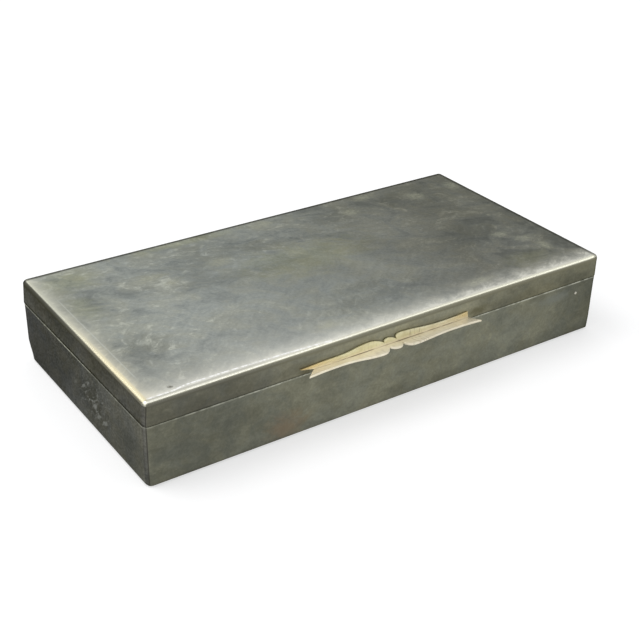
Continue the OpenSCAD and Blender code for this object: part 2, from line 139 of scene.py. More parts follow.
# %% The helper for finishes
class Finish:
    """One material, with its object coordinates ready in millimetres."""

    def __init__(self, name, metallic, roughness):
        self.material = bpy.data.materials.new(name)
        self.material.use_nodes = True
        self.nodes = self.material.node_tree.nodes
        self.links = self.material.node_tree.links
        self.nodes.clear()
        self.shader = self.node("BsdfPrincipled", {"Metallic": metallic, "Roughness": roughness})
        self.node("OutputMaterial", {"Surface": self.shader.outputs["BSDF"]})
        metres = self.node("TexCoord").outputs["Object"]
        self.here = self.node("VectorMath", {0: metres, "Scale": 1 / MM}, operation="SCALE").outputs[0]
        self.x, self.y, self.z = self.node("SeparateXYZ", {0: self.here}).outputs

    def node(self, kind, inputs=None, **settings):
        """A new node with its settings and inputs."""
        made = self.nodes.new("ShaderNode" + kind)
        for name, value in settings.items():
            setattr(made, name, value)
        return self.fill(made, inputs or {})

    def fill(self, node, inputs):
        """Joins each input to a socket, or sets it to a number or colour."""
        for key, value in inputs.items():
            socket = node.inputs[key]
            if isinstance(value, bpy.types.NodeSocket):
                self.links.new(value, socket)
            elif socket.type == "RGBA":
                socket.default_value = (*value, 1)
            else:
                socket.default_value = value
        return node

    def sum(self, operation, a, b=0.0):
        """One step of arithmetic on two values."""
        return self.node("Math", {0: a, 1: b}, operation=operation).outputs[0]

    def chain(self, operation, first, *others):
        """The same step of arithmetic over all the values."""
        for other in others:
            first = self.sum(operation, first, other)
        return first

    def add(self, *values):
        return self.chain("ADD", *values)

    def less(self, a, b):
        return self.sum("SUBTRACT", a, b)

    def both(self, *values):
        """The product of masks or values."""
        return self.chain("MULTIPLY", *values)

    def strongest(self, *masks):
        return self.chain("MAXIMUM", *masks)

    def step(self, value, low, high, start=0.0, end=1.0):
        """Goes smoothly from start to end as the value goes from low to high."""
        inputs = {0: value, 1: low, 2: high, 3: start, 4: end}
        return self.node("MapRange", inputs, interpolation_type="SMOOTHSTEP").outputs[0]

    def where(self, *limits):
        """The product of several steps, each given as the values that step takes."""
        return self.both(*(self.step(*limit) for limit in limits))

    def placed(self, place, size, turn=0.0, tilt=0.0):
        """Coordinates that start at a place and count in steps of the given size."""
        turns = (math.radians(tilt), 0, math.radians(turn))
        inputs = {"Vector": self.here, "Location": place, "Rotation": turns, "Scale": size}
        return self.node("Mapping", inputs, vector_type="TEXTURE").outputs[0]

    def cloud(self, size, turn=0.0, shift=(0, 0, 0), detail=3.0, rough=0.55, twist=0.0, tilt=0.0):
        """Noise from 0 to 1 whose patches are about the given size, in mm."""
        inputs = {"Vector": self.placed(shift, size, turn, tilt), "Scale": 1, "Detail": detail,
                  "Roughness": rough, "Distortion": twist}
        return self.node("TexNoise", inputs).outputs["Fac"]

    def spot(self, place, size, ragged):
        """A mark: 1 in its middle, 0 outside an edge that the ragged noise makes uneven."""
        way = self.node("VectorMath", {0: self.placed(place, size)}, operation="LENGTH").outputs["Value"]
        return self.step(self.add(way, self.both(ragged, 1.6)), 1.8, 0.9)

    def blend(self, mask, a, b, how="MIX"):
        """Colour a where the mask is 0 and b where it is 1."""
        return self.node("Mix", {0: mask, 6: a, 7: b}, data_type="RGBA", blend_type=how).outputs[2]

    def tint(self, colour, value, *limits):
        """The colour times a grey value, or times a step of the value between limits."""
        if limits:
            value = self.step(value, *limits)
        grey = self.node("CombineColor", {0: value, 1: value, 2: value}).outputs[0]
        return self.blend(1.0, colour, grey, "MULTIPLY")

    def shade(self, mask, colour, value):
        """The colour as it is where the mask is 0, and times the value where it is 1."""
        return self.tint(colour, mask, 0, 1, 1.0, value)

    def bump(self, height, reach, strength):
        """Bump whose height of 1 stands for reach, in mm."""
        bumps = self.node("Bump", {"Strength": strength, "Distance": reach * MM, "Height": height})
        self.fill(self.shader, {"Normal": bumps.outputs[0]})


print("helper ready")

# %% [markdown]
# ## Toned silver
# Old silver darkens to a brownish, greenish grey, and stays pale where hands
# and cloths rub it. One finish serves both trays. It is built up in layers: the
# tone of each face, clouds and strokes, single marks, pale bands, bare metal on
# the roll. Several layers also paint light and shade into the colour: painted
# shade on the faces, the roll, the corner and the seam, and painted highlights
# in the bands and lines beside the edges. A picture wrapped round the box would
# be the other way, but noise stays sharp at any size. This cell holds what the
# layers share: coordinates named as one faces the box, and five kinds of noise.
# The strokes run one way on the front half and another way on the back half,
# as a hand that reaches across the lid wipes it.

# %% What the layers of toned silver share
CLOUD_TURN, FRONT_TURN, BACK_TURN = -31.0, 42.0, -16.0


class TonedSilver(Finish):
    """The toned finish, with the coordinates, masks and noise that its layers use."""

    def __init__(self, name):
        super().__init__(name, metallic=1.0, roughness=0.36)
        self.fill(self.shader, {"Specular Tint": (0.30, 0.30, 0.27)})
        self.front, self.leftward = self.both(self.y, -1.0), self.both(self.x, -1.0)
        self.top, self.lid = self.step(self.z, 27.9, 29.0), self.step(self.z, 21.3, 21.5)
        self.clouds = self.cloud((34, 24, 24), CLOUD_TURN, (7, 3, 1), 3, 0.55, 0.5)
        self.patches = self.cloud((13, 9, 9), CLOUD_TURN, (-31, 12, 5), 6, 0.66, 0.8)
        self.wipes = self.strokes((4.8, 3.1, 3), (3, 14, 2), 5, 0.70, 0.8)
        self.streaks = self.strokes((9, 2.0, 2.2), (2, 8, 3), 5, 0.62, 0.4)
        self.grain = self.cloud((0.9, 0.75, 0.8), CLOUD_TURN, (1, 1, 1), 3, 0.65)

    def strokes(self, size, *more):
        """Strokes to the right and back on the front half, to the right and front behind."""
        before = self.cloud(size, FRONT_TURN, *more)
        behind = self.cloud(size, BACK_TURN, *more)
        change = self.both(self.step(self.y, -12, 10), self.less(behind, before))
        return self.add(before, change)


print("kinds of noise:", ["clouds", "patches", "wipes", "streaks", "grain"])

# %% [markdown]
# ### The tone and painted shade of each face
# The tones of the faces are partly tarnish and partly painted light and shade.
# The sides are darker than the top. The front is palest in its middle and
# darkens towards its right end, the lid's front is browner and is darkest at
# its left end, and the left side is a cool dark grey. The top is pale on the
# left and gets darker to the right, a painted fall of light. The values look
# low because the metal mirrors a pale room as well.

# %% The tone and painted shade of each face
FRONT_ENDS, FRONT_MIDDLE = (0.128, 0.129, 0.103), (0.182, 0.182, 0.142)
LID_FRONT_LEFT, LID_FRONT_MIDDLE = (0.116, 0.114, 0.091), (0.212, 0.205, 0.151)
LID_FRONT_RIGHT = (0.158, 0.153, 0.112)
LEFT_BACK, LEFT_FRONT = (0.111, 0.111, 0.117), (0.166, 0.165, 0.153)
LID_LEFT_BACK, LID_LEFT_FRONT = (0.129, 0.128, 0.124), (0.121, 0.119, 0.110)
TOP_LEFT_EDGE, TOP_LEFT = (0.375, 0.39, 0.36), (0.41, 0.426, 0.40)
TOP_RIGHT, TOP_RIGHT_EDGE = (0.255, 0.257, 0.232), (0.165, 0.165, 0.143)


def front_tone(f):
    off_middle = f.sum("ABSOLUTE", f.add(f.x, 2.0))
    base = f.blend(f.step(off_middle, 85, 12), FRONT_ENDS, FRONT_MIDDLE)
    base = f.tint(base, f.x, 36, 52, 1.0, 1.18)
    # Painted shade: the front darkens towards its right end.
    base = f.tint(base, f.x, 70, 89, 1.0, 0.74)
    base = f.tint(base, f.where((f.z, 15, 5, 1.0, 1.08), (f.z, 7, 3, 1.0, 0.93)))
    lid = f.blend(f.step(f.x, -62, -15), LID_FRONT_LEFT, LID_FRONT_MIDDLE)
    lid = f.blend(f.step(f.x, 24, 62), lid, LID_FRONT_RIGHT)
    lid = f.tint(lid, f.z, 22.5, 27, 0.92, 1.12)
    along = f.where((f.x, -6, 4, 1.0, 1.10), (f.x, 27, 33, 1.0, 0.79), (f.x, 52, 66, 1.0, 1.18))
    return f.blend(f.lid, base, f.tint(lid, along))


def left_tone(f):
    base = f.blend(f.step(f.front, -50, 50), LEFT_BACK, LEFT_FRONT)
    lid = f.blend(f.step(f.front, -50, 50), LID_LEFT_BACK, LID_LEFT_FRONT)
    upper = f.step(f.front, 15, 42, 0.84, 1.12)
    return f.blend(f.lid, base, f.tint(lid, f.z, 22.5, 26.5, 1.0, upper))


def face_tones_and_shade(f):
    """The tones meet on the front corner, and pass into each other along the back."""
    # Painted fall of light: the top is pale on the left and darker to the right.
    top = f.blend(f.step(f.x, -90, -52), TOP_LEFT_EDGE, TOP_LEFT)
    top = f.blend(f.step(f.x, -32, 58), top, TOP_RIGHT)
    top = f.blend(f.step(f.x, 80, 88, 0, 0.45), top, TOP_RIGHT_EDGE)
    along_back = f.where((f.front, -42.5, -43.5), (f.leftward, 40, 88, 0, 0.75))
    is_left = f.strongest(f.step(f.leftward, 87.6, 88.5), along_back)
    # The sides are darker than the top, partly by tarnish and partly as painted shade.
    return f.blend(f.top, f.blend(is_left, front_tone(f), left_tone(f)), top)


print("tones of the front:", FRONT_ENDS, "to", FRONT_MIDDLE)

# %% [markdown]
# ### Clouds, smudges and grain
# Tarnish grows in clouds, bluer and yellower in turn, and a cloth leaves pale
# smudges in it. The middle of the top is rubbed smooth, so the unevenness is
# weaker there and strongest at its back and ends. The sides have fine scuffs
# from standing among other things.

# %% Clouds, smudges and grain
BLUER, YELLOWER = (0.93, 1.00, 1.03), (1.05, 1.04, 0.91)


def clouded(f, tone):
    smooth = f.both(f.where((f.x, -70, -25), (f.x, 70, 25), (f.y, 34, 8)), f.top)
    uneven = f.less(f.step(f.top, 0, 1, 0.55, 1.0), f.both(smooth, 0.5))
    bluer, yellower = f.blend(0.4, tone, BLUER, "MULTIPLY"), f.blend(0.5, tone, YELLOWER, "MULTIPLY")
    tone = f.blend(f.step(f.patches, 0.36, 0.64), bluer, yellower)
    tone = f.tint(tone, f.clouds, 0.3, 0.7, 0.90, 1.10)
    tone = f.tint(tone, f.streaks, 0.28, 0.72, 0.94, 1.06)
    mottle = f.step(f.cloud((13, 9, 7), 10, (6, 3, 8), 3, 0.55, 0.7), 0.32, 0.68, 0.90, 1.11)
    on_front = f.where((f.front, 42.5, 43.5), (f.z, 28.5, 27.5))
    tone = f.blend(on_front, tone, f.tint(tone, mottle))
    mixed = f.add(f.both(f.wipes, 0.55), f.both(f.patches, 0.45))
    smudge = f.both(f.step(mixed, 0.48, 0.68), uneven)
    tone = f.tint(tone, smudge, 0, 1, 0.965, 1.38)
    shade = f.both(f.step(f.patches, 0.50, 0.32), uneven)
    tone = f.shade(shade, tone, 0.80)
    tone = f.tint(tone, f.grain, 0.3, 0.7, 0.92, 1.08)
    scuffs = f.step(f.cloud((1.4, 1.0, 0.8), 0, (5, 2, 7), 4, 0.75), 0.35, 0.65, 0.80, 1.22)
    return f.blend(f.step(f.leftward, 87.9, 88.4), tone, f.tint(tone, scuffs))


print("patches turn from", BLUER, "to", YELLOWER)

# %% [markdown]
# ### Single marks on the top
# A few marks are large enough to know the box by: pale rubbed flecks, dark
# clouds and olive stains. Each is a soft round spot whose edge the noise
# wears away, given by its middle and its half sizes in millimetres.

# %% Single marks on the top
PALE_MARKS = [(-53, 22, 8, 4), (-48, 16, 5, 3), (-27, 20.5, 7, 4), (2, 39, 9, 4), (47.5, 40, 6, 4),
              (35, 31, 5, 5), (65, 30, 6, 7), (70, -13, 5, 3), (75, -20, 5, 3), (78, -28, 3, 5),
              (-20, -35, 5, 3), (39, -37, 9, 3), (84, 31, 4, 5), (78, 2, 1, 1)]
DARK_MARKS = [(-75, -17, 12, 12), (-62, 17, 9, 5), (-30, 25, 36, 15), (54, 31, 8, 8), (85, -25, 5, 8),
              (64, -8, 18, 14), (3, -28, 30, 9), (-24, 9, 36, 7), (27, 31, 15, 8), (2, -20, 17, 6),
              (22, 41, 9, 4), (-22, 42, 7, 4)]
OLIVE_MARKS = [(-77, 34, 15, 10), (-80, 15, 8, 12), (-30, 41, 30, 4), (66, -33, 14, 8), (0, 8, 34, 16)]
PALE_FLECK, DARK_CLOUD, OLIVE = (0.47, 0.475, 0.375), (0.10, 0.11, 0.105), (1.10, 1.08, 0.84)


def marks_on_top(f, marks):
    spots = [f.spot((x, y, 29), (a, b, 99), f.wipes) for x, y, a, b in marks]
    return f.both(f.strongest(*spots), f.top)


def marked(f, tone):
    tone = f.blend(f.both(marks_on_top(f, DARK_MARKS), 0.30), tone, DARK_CLOUD)
    stained = f.blend(1.0, tone, OLIVE, "MULTIPLY")
    tone = f.blend(f.both(marks_on_top(f, OLIVE_MARKS), 0.55), tone, stained)
    worn_through = f.step(f.grain, 0.35, 0.6, 0.25, 0.7)
    return f.blend(f.both(marks_on_top(f, PALE_MARKS), worn_through), tone, PALE_FLECK)


print("marks:", len(PALE_MARKS), "pale,", len(DARK_MARKS), "dark,", len(OLIVE_MARKS), "olive")

# %% [markdown]
# ### Painted highlight bands inside the edges
# The pale bands just inside the front and left edges of the top are painted
# highlight, the glow of light along the top's edges, with a little rubbing. A
# band is strongest at the edge and fades inwards, which the exponential does
# smoothly, and noise makes its inner border ragged.

# %% Painted highlight bands inside the edges
BAND_HIGHLIGHT, LEFT_HIGHLIGHT_BACK, LEFT_HIGHLIGHT_FRONT = (0.95, 0.94, 0.84), (0.76, 0.76, 0.65), (0.93, 0.88, 0.70)


def fading(f, way, reach):
    """1 at an edge, and about a third once the way from it equals the reach, in mm."""
    back = f.both(f.strongest(way, 0.0), -1.0)
    return f.sum("EXPONENT", f.sum("DIVIDE", back, reach))


def edge_highlight_bands(f, tone):
    ragged = f.add(f.wipes, f.patches, -1.0)
    front_shift = f.both(ragged, f.step(f.x, 0, 40, -4.5, -7.5))
    front_way = f.add(f.less(42.6, f.front), front_shift)
    narrow = f.both(fading(f, front_way, 3.0), 0.88)
    wide = f.both(fading(f, front_way, 10.0), f.step(f.x, -8, -44, 0, 0.30))
    band = f.sum("MINIMUM", f.add(narrow, wide), 1.0)
    # Painted highlight: the pale band inside the front edge of the top.
    tone = f.blend(f.both(band, f.top), tone, BAND_HIGHLIGHT)
    left_way = f.add(f.less(86.9, f.leftward), f.both(ragged, -2.5))
    left_band = fading(f, left_way, f.step(f.front, -20, 35, 2.8, 1.9))
    cream = f.blend(f.step(f.front, -30, 25), LEFT_HIGHLIGHT_BACK, LEFT_HIGHLIGHT_FRONT)
    # Painted highlight: the cream band inside the left edge of the top.
    return f.blend(f.both(left_band, f.top, 0.85), tone, cream)


print("band beside the front edge:", BAND_HIGHLIGHT)

# %% [markdown]
# ### The rolled edge
# The crest of the roll is painted pale: partly rubbed, almost bare metal, and
# partly painted highlight, warmer towards the front left corner. Its outer half
# is painted darker, as painted shade below the highlight. Along the back and
# the right end the roll has painted shade.

# %% The rolled edge
ROLL_HIGHLIGHT_LEFT_BACK, ROLL_HIGHLIGHT_LEFT_FRONT, ROLL_HIGHLIGHT_FRONT = (0.66, 0.66, 0.55), (0.90, 0.82, 0.57), (0.82, 0.81, 0.67)
UNDER_ROLL_SHADE_LEFT, UNDER_ROLL_SHADE_SIDE = (0.078, 0.077, 0.062), (0.103, 0.100, 0.076)
UNDER_ROLL_SHADE_FRONT, EDGE_SHADE = (0.172, 0.165, 0.114), (0.05, 0.05, 0.045)


def rolled(f, tone):
    # Painted highlight on the roll's crest, partly rubbed metal, warmest towards the front left corner.
    crest = f.step(f.z, 28.0, 28.7)
    warm = f.blend(f.step(f.front, -20, 30), ROLL_HIGHLIGHT_LEFT_BACK, ROLL_HIGHLIGHT_LEFT_FRONT)
    warm = f.tint(warm, f.leftward, 87.3, 87.8, 1.06, f.step(f.front, -10, 40, 0.84, 0.70))
    tone = f.blend(f.both(f.step(f.leftward, 86.3, 87.0), crest), tone, warm)
    tone = f.blend(f.both(f.step(f.front, 42.5, 43.1), crest), tone, ROLL_HIGHLIGHT_FRONT)
    # Painted shade on the outer half of the roll, below its highlight.
    left_way = f.less(f.leftward, f.step(f.front, -44, 44, -0.08, 0.34))
    outer_left = f.where((left_way, 87.5, 87.95), (f.z, 27.4, 28.1), (f.front, -44, 44, 1.0, 0.80))
    tone = f.blend(outer_left, tone, UNDER_ROLL_SHADE_LEFT)
    front_way = f.less(f.front, f.step(f.x, 30, 88, 0.05, 0.32))
    outer_front = f.where((front_way, 43.36, 43.72), (f.z, 27.2, 27.9), (f.leftward, 88.0, 87.6))
    under_roll_shade = f.blend(f.step(f.x, -66, -28), UNDER_ROLL_SHADE_SIDE, UNDER_ROLL_SHADE_FRONT)
    tone = f.blend(f.both(outer_front, 0.9), tone, under_roll_shade)
    # Painted shade: the roll along the back and the right end is darkened.
    back_edge_shade = f.both(f.step(f.y, 41.6, 42.7), f.top, 0.75)
    right_edge_shade = f.both(f.step(f.x, 86.2, 87.3), f.top, 0.55)
    return f.blend(f.strongest(back_edge_shade, right_edge_shade), tone, EDGE_SHADE)


print("bare metal on the roll:", ROLL_HIGHLIGHT_FRONT)

# %% [markdown]
# ### Painted highlight lines, pit and crease
# A thin beaded line of painted highlight runs just inside the front roll, from
# the left corner almost to the middle. A second one lies on the roll's crest,
# with a darker groove of painted shade between them. The inner line is made
# less metallic, so that it stays white from every side. Near the left end are a
# small pit and a faint straight crease.

# %% Painted highlight lines, pit and crease
LINE_HIGHLIGHT, CREST_HIGHLIGHT, GROOVE_SHADE = (1.0, 1.0, 0.97), (1.0, 0.98, 0.88), (0.45, 0.45, 0.39)
PIT_TONE, CREASE_TONE = (0.10, 0.09, 0.06), (0.66, 0.68, 0.62)


def highlight_lines(f, tone):
    # Painted highlight lines along the front roll, and painted shade in the groove between them.
    along = f.add(f.x, 72.0)
    hook, curve = f.step(f.x, -73.5, -79, 0, 0.8), f.both(along, along, f.step(f.x, -73, -71, 0, 0.00075))
    line_way = f.sum("ABSOLUTE", f.add(f.y, 41.3, hook, curve))
    line = f.where((line_way, 0.5, 0.15), (f.x, -14, -30), (f.x, -87, -86))
    beads = f.step(f.cloud((1.0, 2, 2), 0, (3, 4, 5), 2, 0.6), 0.40, 0.56, 0.25, 1.0)
    groove = f.both(f.where((f.front, 42.0, 42.4), (f.front, 43.1, 42.8), (f.x, -38, -58)), f.top)
    tone = f.blend(f.both(groove, 0.5), tone, GROOVE_SHADE)
    crest_line = f.where((f.front, 43.05, 43.2), (f.front, 43.6, 43.4), (f.x, -14, -34))
    tone = f.blend(f.both(crest_line, beads, f.top, 0.8), tone, CREST_HIGHLIGHT)
    # The painted line is made less metallic, so that it stays white from every side.
    painted_line = f.both(line, beads, f.top)
    f.fill(f.shader, {"Metallic": f.step(painted_line, 0, 1, 1.0, 0.35)})
    return f.blend(painted_line, tone, LINE_HIGHLIGHT)


def pitted(f, tone):
    pit = f.spot((-78.2, -40, 29), (1.2, 1.0, 99), f.grain)
    tone = f.blend(f.both(pit, f.top, 0.85), tone, PIT_TONE)
    crease_way = f.sum("ABSOLUTE", f.add(f.x, 84.0, f.both(f.wipes, 0.5)))
    crease = f.where((crease_way, 0.3, 0.1), (f.y, 27, 20), (f.y, -34, -28))
    return f.blend(f.both(crease, f.top, 0.55), tone, CREASE_TONE)


print("line and crest:", LINE_HIGHLIGHT, CREST_HIGHLIGHT)

# %% [markdown]
# ### Marks on the sides
# The front has a paler patch low on the left, a warm stain and a bluish smear
# near the pin. The lid's front has painted shade beside the thumbpiece's ends.
# The left side is scratched and wiped in its middle.

# %% Marks on the sides
STAIN, SMEAR, TIP_SHADE = (0.24, 0.165, 0.10), (0.20, 0.22, 0.21), (0.085, 0.078, 0.04)
SCRATCH_PALE = (0.38, 0.39, 0.37)


def mark_on_front(f, x, z, half_length, half_height):
    """A ragged mark on the front, given by its middle and its half sizes in mm."""
    return f.spot((x, -44, z), (half_length, 60, half_height), f.wipes)


def side_marked(f, tone):
    on_front, below_seam = f.step(f.front, 40, 43), f.step(f.z, 21, 20)
    paler = f.both(mark_on_front(f, -59, 3, 15, 5), on_front, below_seam)
    tone = f.shade(paler, tone, 1.2)
    tone = f.blend(f.both(mark_on_front(f, -41, 4.5, 10, 7), below_seam, on_front, 0.42), tone, STAIN)
    tone = f.blend(f.both(mark_on_front(f, 69.4, 17.3, 9, 3), on_front, 0.35), tone, SMEAR)
    # Painted shade on the lid's front beside the thumbpiece's ends.
    tip_shade_mask = f.strongest(mark_on_front(f, 34, 23.2, 7, 2.4), mark_on_front(f, -34.5, 22, 3, 1.8))
    tone = f.blend(f.both(tip_shade_mask, f.lid, f.step(f.front, 43, 44), 0.55), tone, TIP_SHADE)
    scratch = f.step(f.cloud((9, 5, 1.5), 0, (2, 6, 1), 4, 0.7, 0.3, tilt=-40), 0.50, 0.66)
    wiped = f.both(f.spot((-88.8, -9, 11), (60, 18, 10), f.wipes), f.step(f.leftward, 88.2, 88.6))
    tone = f.shade(wiped, tone, 0.84)
    return f.blend(f.both(scratch, wiped, 0.75), tone, SCRATCH_PALE)


print("marks on the sides:", ["paler patch", "stain", "smear", "thumb_tip_shade", "scratches"])

# %% [markdown]
# ### Corner and seam
# A dark line of painted shade lies on the front left corner, just where the
# bend is sharpest, and the bend beside it is painted darker than the flat
# side. Under the lid's edge the left side has painted shade, and the base's
# lip below it has a painted highlight, broken up along its length.

# %% Corner and seam
CORNER_SHADE, LIP_HIGHLIGHT = (0.045, 0.043, 0.036), (0.44, 0.445, 0.37)


def cornered(f, tone):
    round_way = f.add(f.less(f.leftward, f.front), f.step(f.z, 21.4, 28, 0, 0.45))
    # Painted shade: a dark line on the front left corner, and a darker bend beside it.
    line = f.where((round_way, 44.13, 44.36), (round_way, 44.82, 44.6), (f.z, 28.4, 27.6),
                   (f.leftward, 87.3, 87.6), (f.front, 42.7, 42.9))
    tone = f.blend(f.both(line, 0.85), tone, CORNER_SHADE)
    bend_shade = f.where((round_way, 44.55, 44.85), (round_way, 46.9, 46.1), (f.z, 28.2, 27.4),
                   (f.leftward, 86.5, 87.5))
    bend_shade_level = f.add(f.step(f.z, 2, 12, 0.52, 0.66), f.both(f.lid, 0.14))
    return f.shade(bend_shade, tone, bend_shade_level)


def seamed(f, tone):
    # Painted shade under the lid's edge, in the seam on the left side.
    seam_shade = f.where((f.z, 21.3, 21.4), (f.z, 22.4, 21.9), (f.leftward, 88.3, 88.7))
    tone = f.shade(seam_shade, tone, 0.58)
    # Painted highlight on the base's lip, broken up along its length.
    on_left = f.where((f.leftward, 88.0, 88.4), (f.y, -30, 30, 0.55, 1.2))
    share = f.strongest(f.step(f.x, -88, -40, 0.5, 1.0), on_left)
    lip = f.both(f.where((f.z, 20.55, 20.9), (f.z, 21.35, 21.25)), share)
    return f.blend(f.both(lip, f.step(f.wipes, 0.42, 0.6, 0.25, 0.9)), tone, LIP_HIGHLIGHT)


print("lip:", LIP_HIGHLIGHT)

# %% [markdown]
# ### The whole finish
# The layers are laid on in order. Roughness follows the clouds a little, and
# the bump is the slow dent of thin sheet over wood, with the strokes as fine
# scratches on it.

# %% The toned silver finish
DENT_DEPTH = 0.10
LAYERS = (clouded, marked, edge_highlight_bands, rolled, highlight_lines, pitted, side_marked, cornered, seamed)


def toned_silver(name):
    f = TonedSilver(name)
    tone = face_tones_and_shade(f)
    for layer in LAYERS:
        tone = layer(f, tone)
    f.fill(f.shader, {"Base Color": tone, "Roughness": f.step(f.clouds, 0.25, 0.75, 0.33, 0.43)})
    dents = f.cloud((11, 8, 8), CLOUD_TURN, (4, 9, 2), 2, 0.5)
    f.bump(f.add(f.both(f.streaks, 0.25), dents), DENT_DEPTH, 0.5)
    return f.material


toned = toned_silver("toned_silver")
print("finish:", toned.name, "with", len(toned.node_tree.nodes), "nodes")

# %% [markdown]
# ## Paler silver
# The rims and the hinge lie in the closed box and have only a light tone. The
# thumbpiece is handled at every opening, so it is cream on top, with a bare
# bright edge, and keeps golden tone on its flange. The brown line in the fold
# is partly tarnish and partly painted shade where leaf and flange meet. The
# pins are drawn wire, filed and then rubbed.

# %% The paler silver finishes
BACK_TONE = (0.20, 0.20, 0.155)
CREAM, CREAM_DARKER = (0.97, 0.90, 0.71), (0.89, 0.81, 0.61)
GOLD, GOLD_DARKER, GOLD_ENDS = (0.82, 0.77, 0.48), (0.72, 0.65, 0.37), (0.78, 0.61, 0.29)
FOLD_SHADE_BROWN, HATCH_BROWN = (0.25, 0.18, 0.09), (0.32, 0.25, 0.14)


def light_silver(name, colour, roughness):
    """Silver with light clouds, filed along X, and toned where it shows outside the box."""
    f = Finish(name, metallic=1.0, roughness=roughness)
    clouds = f.cloud((9, 7, 6), 0, (3, 5, 7), 4, 0.6, 0.8)
    filed = f.cloud((14, 0.35, 0.35), 0, (1, 2, 3), 3, 0.6)
    darker = (colour[0] * 0.72, colour[1] * 0.68, colour[2] * 0.56)
    tone = f.blend(f.step(clouds, 0.35, 0.7), colour, darker)
    behind = f.where((f.y, 43.0, 44.2), (clouds, 0.3, 0.7, 0.95, 0.75))
    tone = f.blend(behind, tone, BACK_TONE)
    tone = f.tint(tone, f.y, -43.7, -43.95, 1.0, 0.6)
    tone = f.tint(tone, filed, 0.3, 0.7, 0.92, 1.06)
    rough = f.step(clouds, 0.3, 0.7, roughness - 0.05, roughness + 0.08)
    f.fill(f.shader, {"Base Color": tone, "Roughness": rough})
    f.bump(filed, 0.03, 0.5)
    return f.material


def thumb_silver(name):
    """Cream on top and gold on the flange, with fine cross lines beside the lobe."""
    f = Finish(name, metallic=0.5, roughness=0.4)
    clouds = f.cloud((6, 3, 3), 0, (5, 2, 1), 4, 0.6, 0.8)
    along = f.add(f.x, 1.5)
    off_middle = f.sum("ABSOLUTE", along)
    cream = f.blend(f.step(clouds, 0.35, 0.68), CREAM, CREAM_DARKER)
    gold = f.blend(f.step(clouds, 0.35, 0.68), GOLD, GOLD_DARKER)
    gold = f.blend(f.step(along, -4, 22, 0, 0.5), gold, cream)
    gold = f.blend(f.step(off_middle, 19, 32), gold, GOLD_ENDS)
    gold = f.blend(f.step(f.z, 23.6, 22.5, 0, 0.75), gold, cream)
    tone = f.blend(f.step(f.z, 22.31, 22.45), cream, gold)
    # The brown fold line is partly tarnish and partly painted shade where leaf and flange meet.
    fold = f.where((f.y, -44.95, -44.75), (f.z, 22.6, 22.4), (f.z, 22.1, 22.28))
    broken = f.step(f.cloud((6, 2, 2), 0, (1, 5, 2), 2, 0.5), 0.36, 0.62, 0.18, 0.8)
    tone = f.blend(f.both(fold, broken, f.step(off_middle, 28, 18, 0.3, 1.0)), tone, FOLD_SHADE_BROWN)
    tone = f.tint(tone, along, -8, 4, 1.0, 0.89)
    hatch = f.step(f.cloud((0.55, 3, 3), 18, (7, 2, 3), 1, 0.5), 0.52, 0.62)
    beside = f.strongest(f.where((along, 4, 5), (along, 13, 11)),
                         f.both(f.where((along, -4, -5), (along, -14, -11)), 0.35))
    worked = f.both(beside, f.strongest(f.step(f.y, -44.4, -46.4), f.step(f.z, 22.5, 23.2)))
    tone = f.blend(f.both(hatch, worked, 0.36), tone, HATCH_BROWN)
    f.fill(f.shader, {"Base Color": tone, "Roughness": f.step(clouds, 0.3, 0.7, 0.34, 0.46)})
    f.bump(f.cloud((1.6, 1.2, 1.2), 20, (2, 2, 2), 3, 0.6), 0.05, 0.6)
    return f.material


rim_silver = light_silver("rim_silver", (0.80, 0.79, 0.70), 0.3)
pin_metal = light_silver("pin_metal", (0.86, 0.84, 0.74), 0.26)
thumb = thumb_silver("thumb_silver")
print("finishes:", rim_silver.name, pin_metal.name, thumb.name)

# %% [markdown]
# ## Cedar and baize
# The wood inside is planed cedar: reddish brown, with a straight grain, darker
# late wood and short open pores. The grain runs along each board, so there is
# one finish for boards along X and one for boards along Y. The baize under the
# box is felted wool: soft, matt and a little uneven.

# %% The cedar and baize finishes
CEDAR, LATE_WOOD, PORE = (0.50, 0.245, 0.125), (0.33, 0.135, 0.062), (0.12, 0.045, 0.02)
BAIZE_DARK, BAIZE_PALE = (0.022, 0.078, 0.045), (0.05, 0.15, 0.09)


def cedar(name, turn):
    """Cedar whose grain is turned from the X axis by so many degrees."""
    f = Finish(name, metallic=0.0, roughness=0.55)
    rings = f.cloud((70, 2.6, 2.2), turn, (5, 4, 3), 3, 0.55, 0.4)
    fibres = f.cloud((12, 0.35, 0.35), turn, (9, 1, 4), 3, 0.6)
    pores = f.cloud((3.5, 0.16, 0.16), turn, (2, 7, 5), 1, 0.5)
    tone = f.blend(f.step(rings, 0.36, 0.66), CEDAR, LATE_WOOD)
    tone = f.tint(tone, fibres, 0.3, 0.7, 0.86, 1.12)
    tone = f.blend(f.both(f.step(pores, 0.62, 0.7), 0.6), tone, PORE)
    f.fill(f.shader, {"Base Color": tone, "Roughness": f.step(rings, 0.3, 0.7, 0.5, 0.62)})
    f.bump(f.less(fibres, f.step(pores, 0.6, 0.7)), 0.05, 0.6)
    return f.material


def baize_cloth(name):
    f = Finish(name, metallic=0.0, roughness=0.95)
    fuzz = f.cloud((0.7, 0.7, 0.7), 0, (1, 2, 3), 3, 0.7)
    worn = f.cloud((16, 13, 10), 0, (4, 2, 6), 3, 0.6, 0.6)
    tone = f.blend(f.step(fuzz, 0.3, 0.7), BAIZE_DARK, BAIZE_PALE)
    tone = f.tint(tone, worn, 0.3, 0.7, 0.85, 1.2)
    f.fill(f.shader, {"Base Color": tone, "Sheen Weight": 0.5, "Sheen Roughness": 0.5})
    f.bump(fuzz, 0.25, 0.8)
    return f.material


cedar_x = cedar("cedar_along_x", 0)
cedar_y = cedar("cedar_along_y", 90)
baize_green = baize_cloth("baize")
print("finishes:", cedar_x.name, cedar_y.name, baize_green.name)

